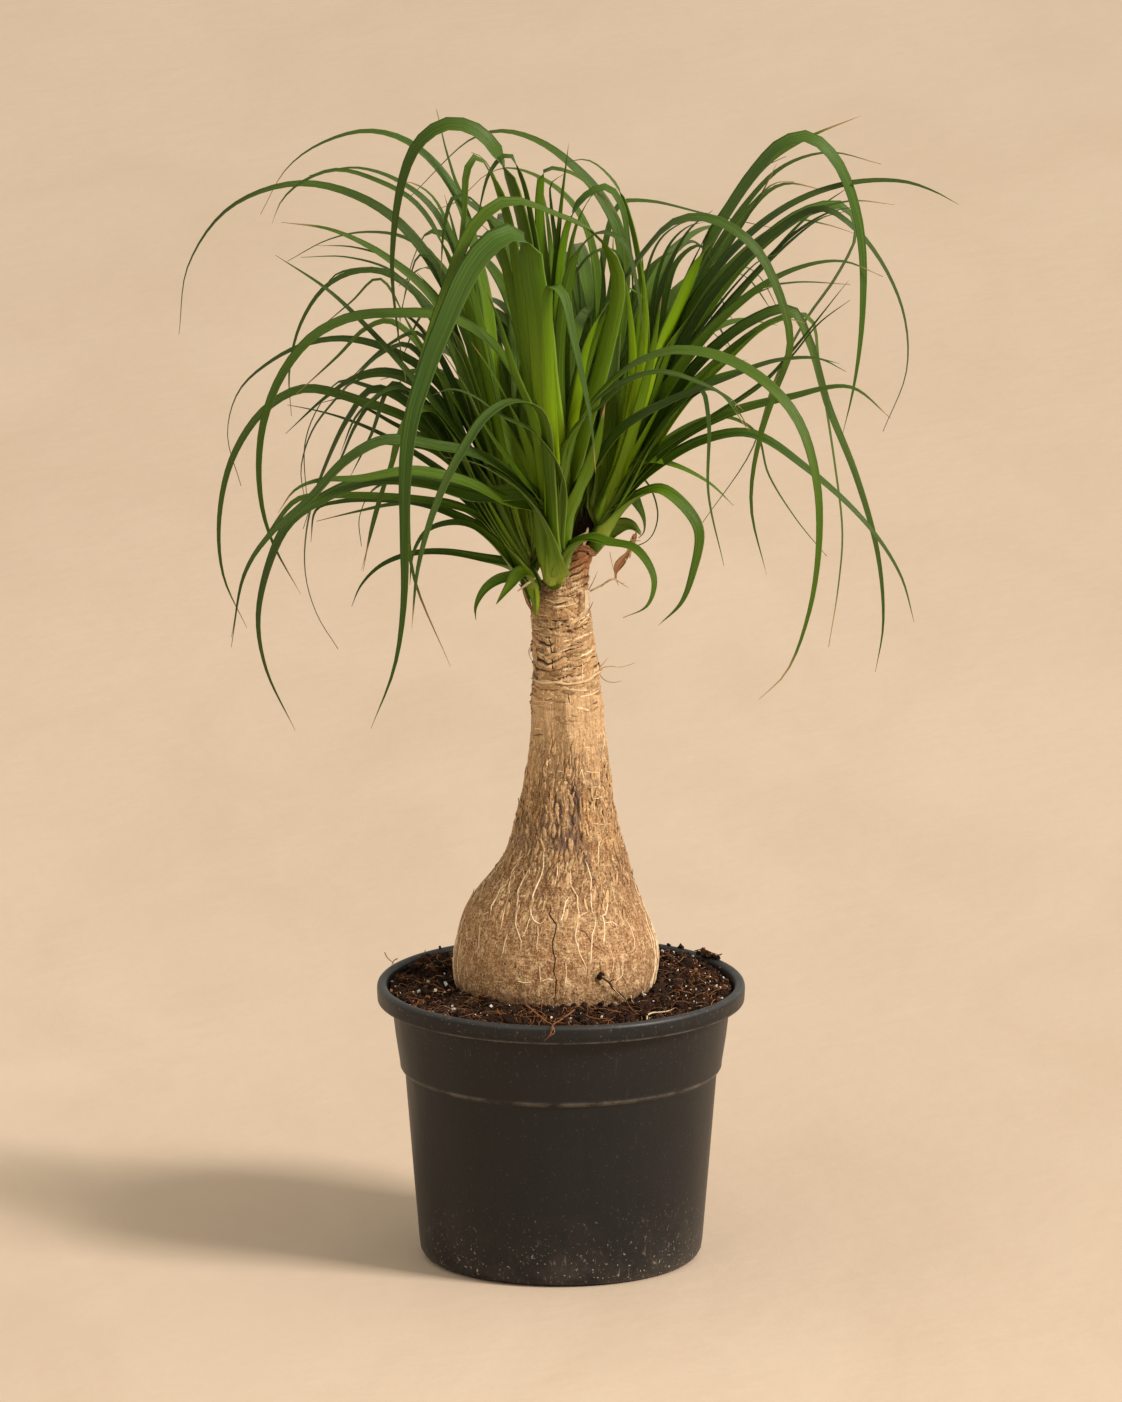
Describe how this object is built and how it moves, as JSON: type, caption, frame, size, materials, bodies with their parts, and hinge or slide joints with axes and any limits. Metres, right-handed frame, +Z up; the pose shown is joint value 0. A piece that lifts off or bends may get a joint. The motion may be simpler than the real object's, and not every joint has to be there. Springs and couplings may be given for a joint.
{
  "type": "potted ponytail palm",
  "caption": "Free-standing house plant: a swollen woody trunk in a round black nursery pot, crowned by heads of long arching strap leaves.",
  "frame": {"origin": "middle of the pot's flat underside, on the surface that the pot stands on", "axes": "+Z up along the pot's axis, +X to the right and -Y towards a viewer in front of the plant"},
  "size_m": [0.4131, 0.3474, 0.6102],
  "materials": {
    "pot_plastic": "satin black moulded plastic, dusty and lightly scuffed",
    "potting_mix": "loose dark peat and coir with pale perlite grains",
    "bark": "dry tan bark with fine cracks on the bulb and ringed leaf scars on the stem",
    "leaf": "leathery green with fine lengthwise veins and a soft sheen",
    "dry_leaf": "dry brown and papery"
  },
  "bodies": {
    "root": {"pot": "pot_plastic", "potting_mix": "potting_mix", "trunk": "bark", "leaf_head_left": "leaf", "leaf_head_front": "leaf", "leaf_head_right": "leaf", "leaf_head_back": "leaf", "side_shoot": "leaf", "dry_leaf": "dry_leaf"}
  },
  "joints": []
}
